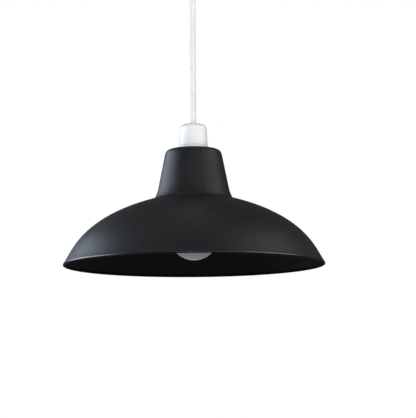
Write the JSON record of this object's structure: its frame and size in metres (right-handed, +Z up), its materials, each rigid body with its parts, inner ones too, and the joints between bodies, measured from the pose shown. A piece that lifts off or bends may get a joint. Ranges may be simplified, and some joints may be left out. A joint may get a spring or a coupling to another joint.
{
  "type": "pendant ceiling light",
  "caption": "Pendant light: ceiling rose, short white flex, bayonet lampholder and a black spun metal dome shade with a tapered neck, with an opal lamp inside.",
  "frame": {"origin": "centre of the ceiling rose's back face, on the ceiling", "axes": "+Z up, away from the room; the flex, lampholder, shade and lamp hang on the Z axis below the origin; the two plungers lie along X and the bayonet pins along Y"},
  "size_m": [0.3, 0.3, 0.369],
  "materials": {
    "white_resin": "moulded urea-formaldehyde, satin gloss",
    "black_powder_coat": "satin black powder coat on spun steel",
    "black_plastic": "moulded, fine texture",
    "flex_sheath": "extruded PVC, satin",
    "brown_core": "extruded PVC insulation",
    "blue_core": "extruded PVC insulation",
    "brass": "turned, bright",
    "spring_steel": "drawn wire, zinc plated",
    "cap_aluminium": "pressed",
    "solder": "dull solder",
    "opal_diffuser": "opal polycarbonate",
    "lamp_plastic": "moulded, satin",
    "circuit_board": "glass-fibre laminate"
  },
  "bodies": {
    "rose": {"rose_base": "white_resin", "rose_terminal_live": "brass", "rose_terminal_loop": "brass", "rose_terminal_neutral": "brass", "rose_terminal_screw_live": "brass", "rose_terminal_screw_loop": "brass", "rose_terminal_screw_neutral": "brass", "rose_core_live": "brown_core", "rose_core_neutral": "blue_core", "flex_end_rose": "flex_sheath"},
    "cover": {"rose_cover": "white_resin"},
    "flex": {"flex": "flex_sheath"},
    "lampholder": {"lampholder_cap": "white_resin", "lampholder_body": "white_resin", "terminal_block": "white_resin", "terminal_post_left": "brass", "terminal_post_right": "brass", "terminal_screw_left": "brass", "terminal_screw_right": "brass", "lampholder_core_live": "brown_core", "lampholder_core_neutral": "blue_core", "flex_end_lampholder": "flex_sheath", "plunger_spring_left": "spring_steel", "plunger_spring_right": "spring_steel"},
    "plungers": {"plunger_left": "brass", "plunger_right": "brass"},
    "lamp": {"lamp_cap": "cap_aluminium", "lamp_insulator": "black_plastic", "lamp_contact_left": "solder", "lamp_contact_right": "solder", "lamp_lead_left": "brown_core", "lamp_lead_right": "brown_core", "lamp_housing": "lamp_plastic", "lamp_diffuser": "opal_diffuser", "lamp_led_board": "cap_aluminium", "lamp_driver_board": "circuit_board", "lamp_driver_capacitor": "black_plastic"},
    "shade": {"shade": "black_powder_coat", "shade_reducer": "black_plastic"},
    "shade_ring": {"shade_ring": "black_plastic"}
  },
  "joints": [
    {"name": "cover_twist", "type": "hinge", "parent": "rose", "child": "cover", "pos_m": [0, 0, 0], "axis": [0, 0, 1], "range_deg": [-25, 0]},
    {"name": "flex_swing", "type": "hinge", "parent": "rose", "child": "flex", "pos_m": [0, 0, -0.034], "axis": [0, 1, 0], "range_deg": [-25, 25]},
    {"name": "lampholder_tilt", "type": "hinge", "parent": "flex", "child": "lampholder", "pos_m": [0, 0, -0.203], "axis": [1, 0, 0], "range_deg": [-15, 15]},
    {"name": "lamp_push", "type": "slide", "parent": "lampholder", "child": "plungers", "axis": [0, 0, 1], "range_m": [0, 0.0025], "stiffness_N_per_m": 2000, "springref_m": -0.0025, "deforming": ["plunger_spring_left", "plunger_spring_right"]},
    {"name": "lamp_twist", "type": "hinge", "parent": "plungers", "child": "lamp", "pos_m": [0, 0, -0.2548], "axis": [0, 0, 1], "range_deg": [-20, 0]},
    {"name": "shade_drop", "type": "slide", "parent": "lampholder", "child": "shade", "axis": [0, 0, 1], "range_m": [-0.012, 0]},
    {"name": "ring_turn", "type": "hinge", "parent": "shade", "child": "shade_ring", "pos_m": [0, 0, -0.24], "axis": [0, 0, 1], "range_deg": [-1728, 0]}
  ],
  "couplings": [
    {"joint": "ring_turn", "follows": "shade_drop", "rad_per_m": 2513.3}
  ]
}
